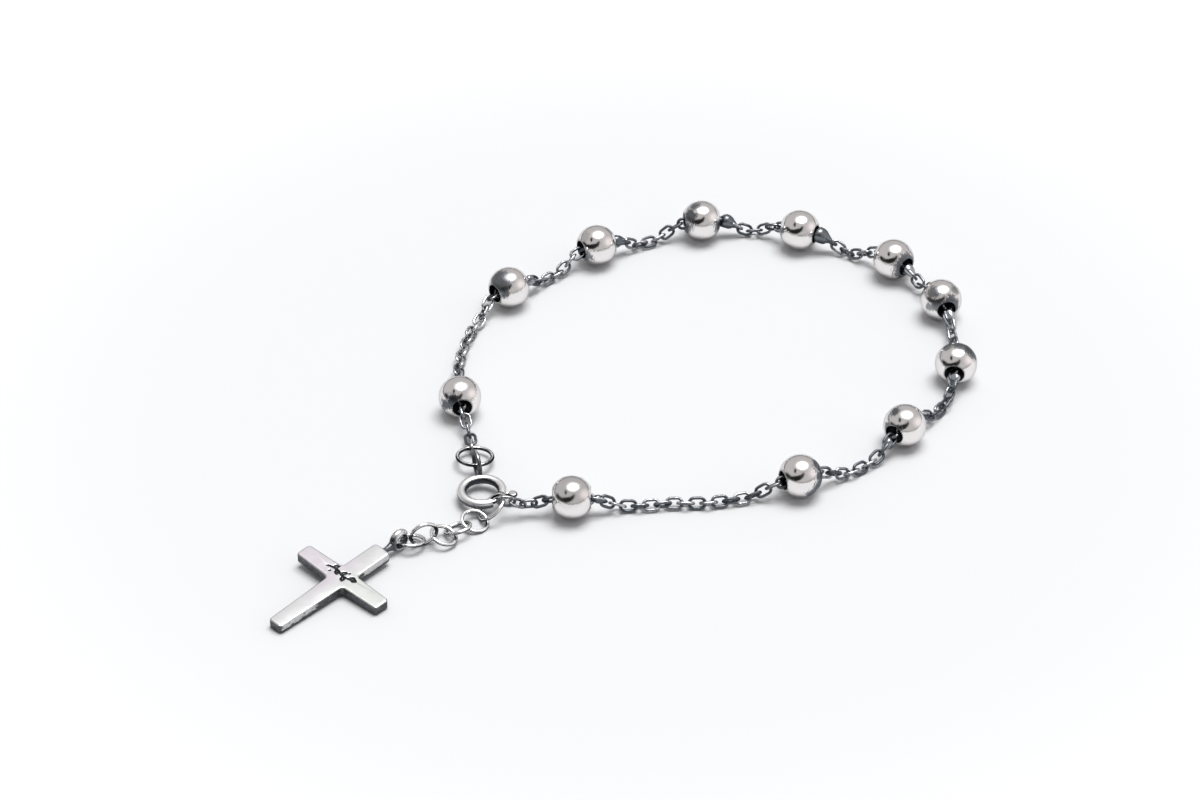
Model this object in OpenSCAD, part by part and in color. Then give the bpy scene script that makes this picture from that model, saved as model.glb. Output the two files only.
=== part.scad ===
// Silver rosary bracelet: eleven hollow beads on an oval cable chain, closed by a
// spring ring, with a small cross on a tail of jump rings. It lies flat, as laid on a table.

/* [Beads] */
// Outer diameter of a bead
bead_d = 5; // [4.9:0.05:5.1]
// Thickness of a bead's wall
bead_wall = 0.3; // [0.2:0.05:0.4]
// Diameter of the hole drilled through a bead
bead_hole = 2.25; // [2.2:0.05:2.4]

/* [Chain] */
// Outside length of a link
link_l = 2.2; // [2.15:0.01:2.25]
// Outside width of a link
link_w = 1.55; // [1.5:0.01:1.6]
// Diameter of a link's wire
link_wire = 0.36; // [0.34:0.01:0.37]
// Play between the wires of two hooked links
link_play = 0.17; // [0.15:0.01:0.18]
// Thickness of the solder that fills a stop link
solder_t = 0.6; // [0.5:0.05:0.7]

/* [Clasp] */
// Radius of the spring ring, to the middle of its tube
clasp_r = 2.33; // [2.3:0.01:2.4]
// Diameter of the spring ring's tube
tube_d = 1.1; // [1.05:0.01:1.1]
// Thickness of the tube's wall
tube_wall = 0.15; // [0.1:0.01:0.15]
// Diameter of the gate's wire
gate_wire = 0.5; // [0.44:0.02:0.52]
// How far the gate slides back, in degrees round the ring
gate_travel = 50; // [48:1:52]
// Outer diameter of the knob that the thumb pulls
knob_d = 1.1; // [1:0.05:1.2]

/* [Rings] */
// Wire of the jump ring between the chain and the clasp
hook_wire = 0.45; // [0.4:0.01:0.45]
// Wire of the rings in the tail
tail_wire = 0.42; // [0.38:0.01:0.42]

/* [Cross] */
// Thickness of the cross
cross_t = 1.15; // [1:0.05:1.2]
// Width of the arms where they cross
cross_w = 2.45; // [2.3:0.05:2.5]
// Length from the middle of the cross to its foot
foot_l = 10.2; // [9.5:0.1:10.5]
// Length from the middle of the cross to its head
head_l = 6.3; // [5.8:0.1:6.4]
// Length from the middle of the cross to the end of a side arm
side_l = 6.3; // [5.8:0.1:6.5]

/* [Hidden] */

// All places are read in one plan; this point of it is the middle of the footprint
MIDDLE = [4.4, -2.85, 0];

// The beads in order round the loop, from the clasp's hook ring to its gate:
// centre in plan, direction of the hole, and the side of the bead that has its
// solder stop (1 where the chain leaves it, -1 where it comes in, 0 for none)
X = 0;
Y = 1;
Z = 2;
TURN = 2;
STOP = 3;
BEADS = [
    [-16.4, -2.7, 99, 0],
    [-11.1, 19.5, 38, 1],
    [-0.4, 28.6, 28, 1],
    [12.7, 34.0, 7, 1],
    [24.9, 31.9, -25, 1],
    [36.2, 25.5, -48, 1],
    [41.4, 16.9, -76, 1],
    [42.2, 3.9, -100, 1],
    [35.3, -8.2, -128, 1],
    [22.8, -17.7, -158, 0],
    [-3.2, -21.6, -180, -1]
];

// Where the chain lies between the beads, one row for each stretch: before the
// first bead, between each two beads, and after the last
VIA = [
    [[-15.1, -8.2]],
    [[-16.8, 4.8], [-16.6, 8.0], [-16.0, 11.0], [-15.2, 13.5], [-14.0, 16.2]],
    [[-6.8, 23.5], [-4.6, 25.5]],
    [[4.6, 31.1], [8.2, 32.9]],
    [[17.0, 34.3], [20.4, 34.1]],
    [[29.4, 30.4], [32.0, 28.8]],
    [[39.3, 21.7]],
    [[42.4, 12.2], [42.6, 8.6]],
    [[41.0, -1.0], [38.9, -4.2]],
    [[32.0, -12.2], [29.3, -14.4], [26.8, -15.8]],
    [[17.8, -19.1], [14.6, -19.9], [11.4, -20.4], [8.2, -20.4], [5.2, -20.8], [2.4, -21.0]],
    [[-8.3, -21.9]]
];
CHAIN_START = [-14.8, -10.7, 0.85];
CHAIN_END = [-11.15, -22.35, 2.6];

// Height of the chain's middle where it lies, and where it hangs in a bead's hole
lie_z = 0.72;
hang = 0.2;
hang_z = bead_d / 2 - hang;
// A bead's rim from its middle, and the run in which the chain comes down from it
rim = bead_d / 2 - 0.3;
fall = 4.2;
// The run over which an end of the chain comes to its hook's height
end_run = 5;

pitch_wanted = link_l - 2 * link_wire - link_play;
curve_steps = 12;

function last(v) = v[len(v) - 1];
function clamp(v) = min(max(v, 0), 1);
function ease(v) = 0.5 - 0.5 * cos(180 * clamp(v));
function bead_middle(b) = [b[X], b[Y]];
function bead_side(b, side) = bead_middle(b) + side * rim * [cos(b[TURN]), sin(b[TURN])];

// The chain's plan, through the stretches and both holes of each bead
PLAN = [
    [CHAIN_START[X], CHAIN_START[Y]],
    for (i = [0:len(BEADS) - 1])
        each concat(VIA[i], [bead_side(BEADS[i], -1), bead_side(BEADS[i], 1)]),
    each last(VIA),
    [CHAIN_END[X], CHAIN_END[Y]]
];
// Places in the plan of the hole where the chain enters bead i
function entry(i) = i == 0 ? 1 + len(VIA[0]) : entry(i - 1) + 2 + len(VIA[i]);

// A smooth curve through the plan's points, and its height over the table
function curve(i, t) =
    let (a = PLAN[max(i - 1, 0)], b = PLAN[i], c = PLAN[i + 1], d = PLAN[min(i + 2, len(PLAN) - 1)])
    0.5 * (2 * b + (c - a) * t + (2 * a - 5 * b + 4 * c - d) * t * t + (3 * b - 3 * c + d - a) * t * t * t);
function product(v, i = 0) = i == len(v) ? 1 : v[i] * product(v, i + 1);
function height(p) =
    let (lying = product([for (b = BEADS) ease((norm(p - bead_middle(b)) - rim) / fall)]))
    let (from_start = norm(p - PLAN[0]), from_end = norm(p - last(PLAN)))
    lie_z + (hang_z - lie_z) * (1 - lying)
    + (CHAIN_START[Z] - lie_z) * (1 - ease(from_start / end_run))
    + (CHAIN_END[Z] - lie_z) * (1 - ease(from_end / end_run));
function lifted(p) = [p[X], p[Y], height(p)];
TRACE = [
    for (i = [0:len(PLAN) - 2], k = [0:curve_steps - 1]) lifted(curve(i, k / curve_steps)),
    lifted(last(PLAN))
];

// Length of the chain up to each point of the trace, and the point at a length
function step_after(i) = i + 1 < len(TRACE) ? norm(TRACE[i + 1] - TRACE[i]) : 0;
ALONG = [
    for (i = 0, s = 0; i < len(TRACE); s = s + step_after(i), i = i + 1) s
];
TABLES = [for (axis = [0:2]) [for (i = [0:len(TRACE) - 1]) [ALONG[i], TRACE[i][axis]]]];
function place(s) = [for (table = TABLES) lookup(s, table)];

// The number of links is odd, so that both of the chain's ends stand the same way up
link_count = 2 * round((last(ALONG) / pitch_wanted - 1) / 2) + 1;
pitch = last(ALONG) / link_count;
JOINTS = [for (k = [0:link_count]) place(k * pitch)];

// Every second link is turned by a quarter, all lean on the table, and at both
// ends of the chain they come upright for the rings that hook into them
end_links = 7;
sway = 11;
sway_step = 50;
function upright(k) = clamp(1 - k / end_links) + clamp(1 - (link_count - 1 - k) / end_links);
function roll(k) = 45 + 90 * (k % 2) + 45 * upright(k) + sway * (1 - upright(k)) * sin(sway_step * k);

// The link that is a bead's stop stands this far from the bead's middle
stop_reach = bead_d / 2 + 1.35;
function stop_link(i) =
    let (middle = (ALONG[entry(i) * curve_steps] + ALONG[(entry(i) + 1) * curve_steps]) / 2)
    floor((middle + BEADS[i][STOP] * stop_reach) / pitch);
STOPS = [for (i = [0:len(BEADS) - 1]) if (BEADS[i][STOP] != 0) stop_link(i)];
function is_stop(k) = len([for (s = STOPS) if (s == k) s]) > 0;
split_link = stop_link(5) - 4;

// The spring ring: its middle, and its features in degrees round it
CLASP = [-13.4, -19, 1.3];
gap_from = -62;
gap_to = -17;
gate_overlap = 5;
gate_tail = 16;
knob_at = -8;
knob_out = clasp_r + tube_d / 2 + 0.65;
knob_t = 0.5;
stem_d = 0.36;
slot_w = 0.5;
slot_end = 5;
eye_at = 99;
eye_turn = 106;
eye_d = 3.3;
eye_wire = 0.5;
eye_out = 4.3;
eye_up = 0.6;

// Jump rings: middle, outer diameter, and lean about X and Y
HOOK = [-14.4, -12.25, 1.1];
hook_d = 4.5;
hook_lean = [-8, 2, 0];

// The tail's rings from the gate to the cross: middle, outer diameter, lean out of
// the flat, and the direction that the ring's face leans to
OD = 3;
TILT = 4;
FACING = 5;
TAIL = [
    [-12.2, -21.93, 1.44, 4.1, 41, 178],
    [-14.11, -23.57, 0.71, 3.4, 19, -37],
    [-15.97, -24.97, 0.8, 3.3, 23, 131],
    [-17.5, -26.55, 1.03, 3.3, 19, -11],
    [-19.7, -27.2, 1.75, 3.5, 80, 112],
    [-21.2, -27.3, 0.93, 3.5, 16, 87]
];

// The cross: its middle, the direction of its side arm, and how far its head and one
// side arm are lifted off the table by the rings
CROSS = [-28.44, -34.28, 0.06];
cross_turn = -43;
cross_tilt = 4.5;
head_w = 2.4;
foot_w = 1.9;
side_w = 2.05;
corner_r = 0.45;
edge_r = 0.2;
// Its eye, a band bent into a ring, and the neck that carries it
bail_d = 2.7;
bail_t = 0.5;
bail_w = 0.9;
bail_dome = 0.6;
bail_out = 8.8;
bail_z = 1.37;
neck_d = 1.1;
neck_in = 0.5;
neck_l = bail_out - bail_d / 2 + bail_t / 2 - head_l + neck_in;
neck_z = 1.15;

module placed() {
    translate(-MIDDLE) children();
}

module wire_ring(d, wire) {
    rotate_extrude($fn = 64) translate([(d - wire) / 2, 0]) circle(d = wire, $fn = 24);
}

module arc_wire(r, wire, from, to) {
    rotate([0, 0, from]) rotate_extrude(angle = to - from, $fn = 96)
        translate([r, 0]) circle(d = wire, $fn = 32);
}

// A thin-walled ball with a hole through it for the chain, turned about the hole
module bead(i) {
    b = BEADS[i];
    color("gainsboro") placed() translate([b[X], b[Y], bead_d / 2]) rotate([0, 90, b[TURN]])
        rotate_extrude($fn = 64) difference() {
            circle(d = bead_d, $fn = 96);
            circle(d = bead_d - 2 * bead_wall, $fn = 96);
            translate([bead_hole / 2 - bead_d, -bead_d]) square([bead_d, 2 * bead_d]);
        }
}

// One link: two half rings joined by two straight sides, lying along X
bow_r = (link_w - link_wire) / 2;
straight = link_l - link_w;
module chain_link() {
    for (s = [-1, 1]) {
        translate([s * straight / 2, 0, 0]) rotate([0, 0, -90 * s]) rotate_extrude(angle = 180, $fn = 48)
            translate([bow_r, 0]) circle(d = link_wire, $fn = 24);
        translate([0, s * bow_r, 0]) rotate([0, 90, 0])
            cylinder(h = straight, d = link_wire, center = true, $fn = 24);
    }
}

// Solder that fills a link and holds the ends of both its neighbours
module solder() {
    linear_extrude(height = solder_t, center = true) {
        square([straight, 2 * bow_r], center = true);
        for (s = [-1, 1]) translate([s * straight / 2, 0]) circle(r = bow_r, $fn = 48);
    }
}

module links(from, to) {
    color("dimgray") placed() for (k = [from:to]) {
        run = JOINTS[k + 1] - JOINTS[k];
        translate((JOINTS[k] + JOINTS[k + 1]) / 2)
            rotate([roll(k), -asin(run[Z] / norm(run)), atan2(run[Y], run[X])]) {
                chain_link();
                if (is_stop(k)) solder();
            }
    }
}

// The chain is one run of hooked links, drawn in two halves that meet
module chain_far() {
    links(0, split_link - 1);
}

module chain_near() {
    links(split_link, link_count - 1);
}

module hook_ring() {
    color("silver") placed() translate(HOOK) rotate(hook_lean) wire_ring(hook_d, hook_wire);
}

// The spring ring's tube, open at the gate and slotted for the knob, with its eye
module clasp_ring() {
    bore = tube_d - 2 * tube_wall;
    color("gainsboro") placed() translate(CLASP) difference() {
        union() {
            arc_wire(clasp_r, tube_d, gap_to, 360 + gap_from);
            rotate([0, 0, eye_at]) translate([eye_out, 0, eye_up]) rotate([90, 0, eye_turn - eye_at])
                wire_ring(eye_d, eye_wire);
        }
        arc_wire(clasp_r, bore, gap_to - 2, 362 + gap_from);
        rotate([0, 0, knob_at - slot_end]) rotate_extrude(angle = gate_travel + 2 * slot_end, $fn = 96)
            translate([clasp_r + bore / 4, -slot_w / 2]) square([tube_d, slot_w]);
    }
}

// The curved wire that closes the spring ring, with the knob that draws it back
module clasp_gate() {
    color("gainsboro") placed() translate(CLASP) {
        arc_wire(clasp_r, gate_wire, gap_from - gate_overlap, knob_at + gate_tail);
        rotate([0, 0, knob_at]) {
            translate([clasp_r, 0, 0]) rotate([0, 90, 0])
                cylinder(h = knob_out - clasp_r, d = stem_d, $fn = 24);
            translate([knob_out, 0, 0]) rotate_extrude($fn = 48) {
                translate([0, -knob_t / 2]) square([(knob_d - knob_t) / 2, knob_t]);
                intersection() {
                    translate([(knob_d - knob_t) / 2, 0]) circle(d = knob_t, $fn = 24);
                    translate([0, -knob_t]) square([knob_d, 2 * knob_t]);
                }
            }
        }
    }
}

module tail_ring(i) {
    t = TAIL[i - 1];
    color("silver") placed() translate([t[X], t[Y], t[Z]]) rotate([0, t[TILT], t[FACING]])
        wire_ring(t[OD], tail_wire);
}

// A round post with its top edge rounded off, from which the arms are drawn out
module post(r) {
    rotate_extrude($fn = 24) polygon([
        [0, 0],
        [r, 0],
        for (a = [0:30:90]) [r - edge_r + edge_r * cos(a), cross_t - edge_r + edge_r * sin(a)],
        [0, cross_t]
    ]);
}

// One arm of the cross along +Y, from the middle out
module arm(length, width) {
    hull() for (s = [-1, 1]) {
        translate([s * (cross_w / 2 - corner_r), 0, 0]) post(corner_r);
        translate([s * (width / 2 - corner_r), length - corner_r, 0]) post(corner_r);
    }
}

// The cast cross, with the neck and the upright eye soldered to its head
module cross() {
    color("silver") placed() translate(CROSS) rotate([0, 0, cross_turn]) {
        translate([side_l, 0, 0]) rotate(a = cross_tilt, v = [side_l, foot_l, 0])
            translate([-side_l, 0, 0]) {
            arm(head_l, head_w);
            rotate([0, 0, 90]) arm(side_l, side_w);
            rotate([0, 0, -90]) arm(side_l, side_w);
            rotate([0, 0, 180]) arm(foot_l, foot_w);
        }
        translate([0, head_l - neck_in, neck_z]) rotate([-90, 0, 0])
            cylinder(h = neck_l, d1 = neck_d, d2 = bail_w, $fn = 32);
        translate([0, bail_out, bail_z]) rotate([0, 90, 0]) rotate_extrude($fn = 64)
            translate([bail_d / 2, 0]) intersection() {
                translate([-bail_t, -bail_w / 2]) square([bail_t, bail_w]);
                translate([-bail_dome, 0]) circle(r = bail_dome, $fn = 48);
            }
    }
}

for (i = [1:len(BEADS)]) bead(i - 1);
chain_far();
chain_near();
hook_ring();
clasp_ring();
clasp_gate();
for (i = [1:len(TAIL)]) tail_ring(i);
cross();
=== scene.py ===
# %% [markdown]
# # A silver rosary bracelet
# Eleven hollow beads hang on a dark oval cable chain. A spring ring closes it, and a
# small cross is on a tail of jump rings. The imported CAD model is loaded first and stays
# where it is. What has to look hand made, such as beads, links and the cross, is built
# again in the same place, and the rest of the CAD gets a finish of its own.

# %% The frame, and the box that the CAD model fills
import math

import bmesh
import bpy
import numpy as np
from mathutils import Euler, Matrix, Vector
from mathutils.geometry import delaunay_2d_cdt


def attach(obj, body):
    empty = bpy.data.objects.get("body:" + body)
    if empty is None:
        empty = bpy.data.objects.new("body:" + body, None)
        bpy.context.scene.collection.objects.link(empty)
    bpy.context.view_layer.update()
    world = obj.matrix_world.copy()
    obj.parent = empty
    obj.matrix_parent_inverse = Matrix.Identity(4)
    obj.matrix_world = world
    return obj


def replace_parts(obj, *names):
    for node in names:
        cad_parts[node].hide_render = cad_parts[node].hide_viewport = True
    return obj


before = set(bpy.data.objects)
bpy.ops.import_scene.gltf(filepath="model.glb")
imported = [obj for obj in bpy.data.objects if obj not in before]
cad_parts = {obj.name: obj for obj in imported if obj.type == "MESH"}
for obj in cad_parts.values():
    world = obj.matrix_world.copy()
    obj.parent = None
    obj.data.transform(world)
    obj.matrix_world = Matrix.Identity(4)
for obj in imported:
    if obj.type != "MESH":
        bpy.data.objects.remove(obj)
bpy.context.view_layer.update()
MM = 0.001
scene = bpy.context.scene
print("CAD nodes:", len(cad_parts))

# %% [markdown]
# The camera comes next. The photograph looks down at 37 degrees through a long lens, so
# far beads are hardly smaller than near ones. A long lens from a third of a metre gives
# the same view.

# %% The camera
LOOK_DOWN = 37
camera_data = bpy.data.cameras.new("camera")
camera_data.lens = 108
camera_data.sensor_width = 36
camera_data.sensor_fit = "HORIZONTAL"
camera_data.clip_start = 0.01
camera_data.clip_end = 10
camera = bpy.data.objects.new("camera", camera_data)
camera.location = (-0.0044, -0.3366, 0.2558)
camera.rotation_euler = (math.radians(90 - LOOK_DOWN), 0, 0)
scene.collection.objects.link(camera)
scene.camera = camera
scene.view_settings.view_transform = "Standard"
print("Lens:", camera_data.lens)

# %% [markdown]
# Shaders and Geometry Nodes are both trees of nodes. Two small classes make them read
# like sums: a Wire is one socket with the usual operators, and a Tree adds any node from
# its type, its settings and what goes into its sockets.

# %% Node trees written as sums
class Wire:
    def __init__(self, tree, socket):
        self.tree = tree
        self.socket = socket

    def __add__(self, other):
        return self.tree.math("ADD", self, other)

    def __sub__(self, other):
        return self.tree.math("SUBTRACT", self, other)

    def __rsub__(self, other):
        return self.tree.math("SUBTRACT", other, self)

    def __mul__(self, other):
        return self.tree.math("MULTIPLY", self, other)

    def __truediv__(self, other):
        return self.tree.math("DIVIDE", self, other)

    def __rtruediv__(self, other):
        return self.tree.math("DIVIDE", other, self)

    __radd__ = __add__


class Tree:
    def __init__(self, tree):
        self.tree = tree

    def node(self, kind, settings=None, sockets=None, out=0):
        made = self.tree.nodes.new(kind)
        for name, value in (settings or {}).items():
            setattr(made, name, value)
        for name, value in (sockets or {}).items():
            values = value if isinstance(value, list) else [value]
            for one in values:
                if isinstance(one, Wire):
                    self.tree.links.new(one.socket, made.inputs[name])
                else:
                    made.inputs[name].default_value = one
        return Wire(self, made.outputs[out]) if len(made.outputs) else None

    def math(self, operation, first, second=0.0):
        return self.node("ShaderNodeMath", {"operation": operation}, {0: first, 1: second})

    def vector(self, operation, first, second=(0, 0, 0), out=0):
        return self.node("ShaderNodeVectorMath", {"operation": operation}, {0: first, 1: second}, out)

    def scaled(self, vector, by):
        return self.node("ShaderNodeVectorMath", {"operation": "SCALE"}, {0: vector, "Scale": by})

    def step(self, value, low, high):
        """0 below low, 1 above high, and a soft step between them."""
        return self.node("ShaderNodeMapRange", {"interpolation_type": "SMOOTHSTEP"},
                         {"Value": value, "From Min": low, "From Max": high})

    def larger(self, first, second):
        return self.math("MAXIMUM", first, second)

    def colour(self, share, first, second):
        return self.node("ShaderNodeMix", {"data_type": "RGBA"}, {0: share, 6: first, 7: second}, out=2)

    def noise(self, place, scale, detail):
        return self.node("ShaderNodeTexNoise", None, {"Vector": place, "Scale": scale, "Detail": detail})

    def attribute(self, name):
        return self.node("ShaderNodeAttribute", {"attribute_name": name}, None, out="Fac")


# %% [markdown]
# Silver is a metal, so all its colour is in its reflections. A polished place mirrors
# the white room, and a place that was darkened in liver of sulphur stays dark until it
# is rubbed. Each finish below is a mix of those two by a mask, with a bump so small that
# it only breaks up the reflections.

# %% Silver, polished and darkened
SILVER = (0.865, 0.84, 0.825, 1)
HAZY_SILVER = (0.76, 0.725, 0.71, 1)
COOL_SILVER = (0.86, 0.857, 0.855, 1)
RIM_TINT = (0.66, 0.66, 0.67, 1)
OXIDE = (0.085, 0.096, 0.11, 1)
PATCH_OXIDE = (0.082, 0.096, 0.112, 1)
BLACK_OXIDE = (0.025, 0.027, 0.03, 1)


class Finish(Tree):
    def __init__(self, name):
        self.material = bpy.data.materials.new(name)
        self.material.use_nodes = True
        super().__init__(self.material.node_tree)
        self.shader = self.tree.nodes["Principled BSDF"]
        inputs = self.shader.inputs
        inputs["Metallic"].default_value = 1
        inputs["Specular Tint"].default_value = RIM_TINT
        place = self.node("ShaderNodeTexCoord", None, None, out="Object")
        self.place = self.scaled(place, 1 / MM)

    def facing_up(self):
        normal = self.node("ShaderNodeNewGeometry", None, None, out="Normal")
        return self.vector("DOT_PRODUCT", normal, (0, 0, 1), out="Value")

    def paint(self, colour, roughness, height, depth_mm):
        """Connects the finish. The bump's height is a share of depth_mm."""
        bump = self.node("ShaderNodeBump", None,
                         {"Strength": 1.0, "Distance": depth_mm * MM, "Height": height}, out="Normal")
        self.node_into("Base Color", colour)
        self.node_into("Roughness", roughness)
        self.node_into("Normal", bump)
        return self.material

    def node_into(self, name, wire):
        self.tree.links.new(wire.socket, self.shader.inputs[name])


# %% [markdown]
# Each bead was spun from thin tube. It was darkened, then polished, and the polish did
# not reach the places near its holes, nor its inside. So every bead has dark brushed
# patches of its own. They are given as directions from the bead's middle, with how far
# they spread in degrees.

# %% The finish of a bead
BEAD_D = 5.0
BEAD_WALL = 0.3
BEAD_HOLE = 2.25
BEAD_SKIN = BEAD_D / 2 - 0.12


def bead_finish(name, middle, bore, patches):
    f = Finish(name)
    offset = f.vector("SUBTRACT", f.place, tuple(middle))
    radius = f.vector("LENGTH", offset, out="Value")
    direction = f.vector("NORMALIZE", offset)
    cloud = f.noise(offset, 0.9, 3.0)
    brushed = f.noise(f.vector("MULTIPLY", offset, (7.0, 2.0, 1.5)), 1.6, 3.0)
    dark = f.step(radius, BEAD_SKIN, BEAD_SKIN - 0.08)
    for way, spread, strength in patches:
        edge = math.radians(spread)
        angle = f.math("ARCCOSINE", f.vector("DOT_PRODUCT", direction, tuple(way), out="Value"))
        fringe = min(edge, 0.42)
        ragged = angle + ((cloud - 0.5) * 1.3 + (brushed - 0.5) * 1.8) * fringe
        dark = f.larger(dark, f.step(ragged, edge, edge - 0.4 * fringe) * strength)
    at_bore = f.math("ABSOLUTE", f.vector("DOT_PRODUCT", direction, tuple(bore), out="Value"))
    rim = f.step(at_bore + (cloud - 0.5) * 0.12, 0.84, 0.875)
    dark = f.larger(dark, rim * 0.55)
    scratches = f.noise(f.vector("MULTIPLY", offset, (9.0, 2.0, 3.0)), 3.0, 4.0)
    haze = f.step(cloud, 0.45, 0.75) * 0.07
    silver = f.colour(haze * 4.0, SILVER, HAZY_SILVER)
    inside = f.step(radius, BEAD_SKIN, BEAD_SKIN - 0.13)
    oxide = f.colour(inside, PATCH_OXIDE, BLACK_OXIDE)
    colour = f.colour(dark * (0.8 + brushed * 0.4), silver, oxide)
    roughness = 0.1 + haze + dark * 0.22 + (scratches - 0.5) * 0.05
    height = cloud * 0.7 + scratches * (0.02 + dark * 0.16)
    return f.paint(colour, roughness, height, 0.05)


# %% [markdown]
# A bead is a turned shape: the wall's outline goes once round the axis of the hole. The
# edge of the hole is rounded a little, because a sharp edge would show no bright line.
# The same turning helper serves the eye and the neck of the cross.

# %% Turning a closed outline round an axis
def heading(degrees):
    """The unit vector in the plane at an angle from +X."""
    return np.array([math.cos(math.radians(degrees)), math.sin(math.radians(degrees))])


def turned(outline, steps):
    """Vertices and faces of a closed outline of (radius, height) points turned round Z."""
    outline = np.array(outline, float)
    angles = np.linspace(0, 2 * math.pi, steps, endpoint=False)
    rings = np.stack([np.outer(np.cos(angles), outline[:, 0]), np.outer(np.sin(angles), outline[:, 0]),
                      np.tile(outline[:, 1], (steps, 1))], axis=2)
    count = len(outline)
    faces = []
    for i in range(steps):
        for k in range(count):
            j = (i + 1) % steps
            m = (k + 1) % count
            faces.append((i * count + k, j * count + k, j * count + m, i * count + m))
    return rings.reshape(-1, 3), faces


def made_mesh(name, points_mm, faces, matrix=None, sharp=40, merge=1e-8, cut=None):
    """A smooth mesh from points in millimetres. The cut, if any, is kept for its finish."""
    mesh = bpy.data.meshes.new(name)
    mesh.from_pydata([tuple(p) for p in points_mm], [], faces)
    if cut is not None:
        mesh.attributes.new("cut", "FLOAT", "POINT").data.foreach_set("value", cut.astype(np.float32))
    if matrix is not None:
        mesh.transform(matrix)
    mesh.transform(Matrix.Scale(MM, 4))
    tidy = bmesh.new()
    tidy.from_mesh(mesh)
    bmesh.ops.remove_doubles(tidy, verts=tidy.verts, dist=merge)
    bmesh.ops.recalc_face_normals(tidy, faces=tidy.faces)
    tidy.to_mesh(mesh)
    tidy.free()
    mesh.shade_smooth()
    mesh.set_sharp_from_angle(angle=math.radians(sharp))
    piece = bpy.data.objects.new(name, mesh)
    scene.collection.objects.link(piece)
    return piece


def arc(middle, radius, start, end, steps):
    return [np.array(middle) + radius * heading(a) for a in np.linspace(start, end, steps)]


# %% The wall of a bead, with the edges of its holes rounded
def bead_outline():
    outer = BEAD_D / 2
    inner = outer - BEAD_WALL
    bore = BEAD_HOLE / 2
    lip = 0.07
    reach = math.degrees(math.acos((bore + lip) / (outer - lip)))
    lip_middle = (outer - lip) * heading(reach)
    back = math.degrees(math.acos(bore / inner))
    half = arc(lip_middle, lip, 180, reach, 7)
    half_low = [(r, -z) for r, z in reversed(half)]
    return (half + arc((0, 0), outer, reach, -reach, 61)[1:-1] + half_low
            + arc((0, 0), inner, -back, back, 41))


# %% [markdown]
# The chain runs through the beads and lies on the table between them. Its line is a
# smooth curve through a few places, the same ones that the CAD part uses, so the links
# made here lie just where the CAD links are.

# %% Where the beads and the chain are, in millimetres
MIDDLE = np.array([4.4, -2.85, 0])
# Middle of each bead, direction of its hole, and the side of its solder stop
BEADS = [
    (-16.4, -2.7, 99, 0), (-11.1, 19.5, 38, 1), (-0.4, 28.6, 28, 1), (12.7, 34.0, 7, 1),
    (24.9, 31.9, -25, 1), (36.2, 25.5, -48, 1), (41.4, 16.9, -76, 1), (42.2, 3.9, -100, 1),
    (35.3, -8.2, -128, 1), (22.8, -17.7, -158, 0), (-3.2, -21.6, -180, -1),
]
# Places of the chain before, between and after the beads
VIA = [
    [(-15.1, -8.2)],
    [(-16.8, 4.8), (-16.6, 8.0), (-16.0, 11.0), (-15.2, 13.5), (-14.0, 16.2)],
    [(-6.8, 23.5), (-4.6, 25.5)],
    [(4.6, 31.1), (8.2, 32.9)],
    [(17.0, 34.3), (20.4, 34.1)],
    [(29.4, 30.4), (32.0, 28.8)],
    [(39.3, 21.7)],
    [(42.4, 12.2), (42.6, 8.6)],
    [(41.0, -1.0), (38.9, -4.2)],
    [(32.0, -12.2), (29.3, -14.4), (26.8, -15.8)],
    [(17.8, -19.1), (14.6, -19.9), (11.4, -20.4), (8.2, -20.4), (5.2, -20.8), (2.4, -21.0)],
    [(-8.3, -21.9)],
]
CHAIN_START = np.array([-14.8, -10.7, 0.85])
CHAIN_END = np.array([-11.15, -22.35, 2.6])
# The chain's middle is at LIE_Z on the table and at HANG_Z in a bead, which it leaves at
# RIM from the bead's middle. It falls to the table over FALL, and over END_RUN at its ends
LIE_Z = 0.72
HANG_Z = BEAD_D / 2 - 0.2
RIM = BEAD_D / 2 - 0.3
FALL = 4.2
END_RUN = 5
CURVE_STEPS = 12
# A link's length, width and wire, and the play between two hooked links
LINK_L = 2.2
LINK_W = 1.55
LINK_WIRE = 0.36
LINK_PLAY = 0.17


def ease(v):
    return 0.5 - 0.5 * np.cos(np.pi * np.clip(v, 0, 1))


def hole_way(bead):
    return heading(bead[2])


plan = [CHAIN_START[:2]]
entries = []
for bead, row in zip(BEADS, VIA):
    plan.extend(np.array(p) for p in row)
    entries.append(len(plan))
    plan.append(np.array(bead[:2]) - RIM * hole_way(bead))
    plan.append(np.array(bead[:2]) + RIM * hole_way(bead))
plan.extend(np.array(p) for p in VIA[-1])
plan.append(CHAIN_END[:2])


def on_curve(i, t):
    a, b, c, d = plan[max(i - 1, 0)], plan[i], plan[i + 1], plan[min(i + 2, len(plan) - 1)]
    return 0.5 * (2 * b + (c - a) * t + (2 * a - 5 * b + 4 * c - d) * t**2 + (3 * b - 3 * c + d - a) * t**3)


def height(p):
    lying = np.prod([ease((np.linalg.norm(p - np.array(b[:2])) - RIM) / FALL) for b in BEADS])
    from_start = np.linalg.norm(p - plan[0])
    from_end = np.linalg.norm(p - plan[-1])
    return (LIE_Z + (HANG_Z - LIE_Z) * (1 - lying)
            + (CHAIN_START[2] - LIE_Z) * (1 - ease(from_start / END_RUN))
            + (CHAIN_END[2] - LIE_Z) * (1 - ease(from_end / END_RUN)))


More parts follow.
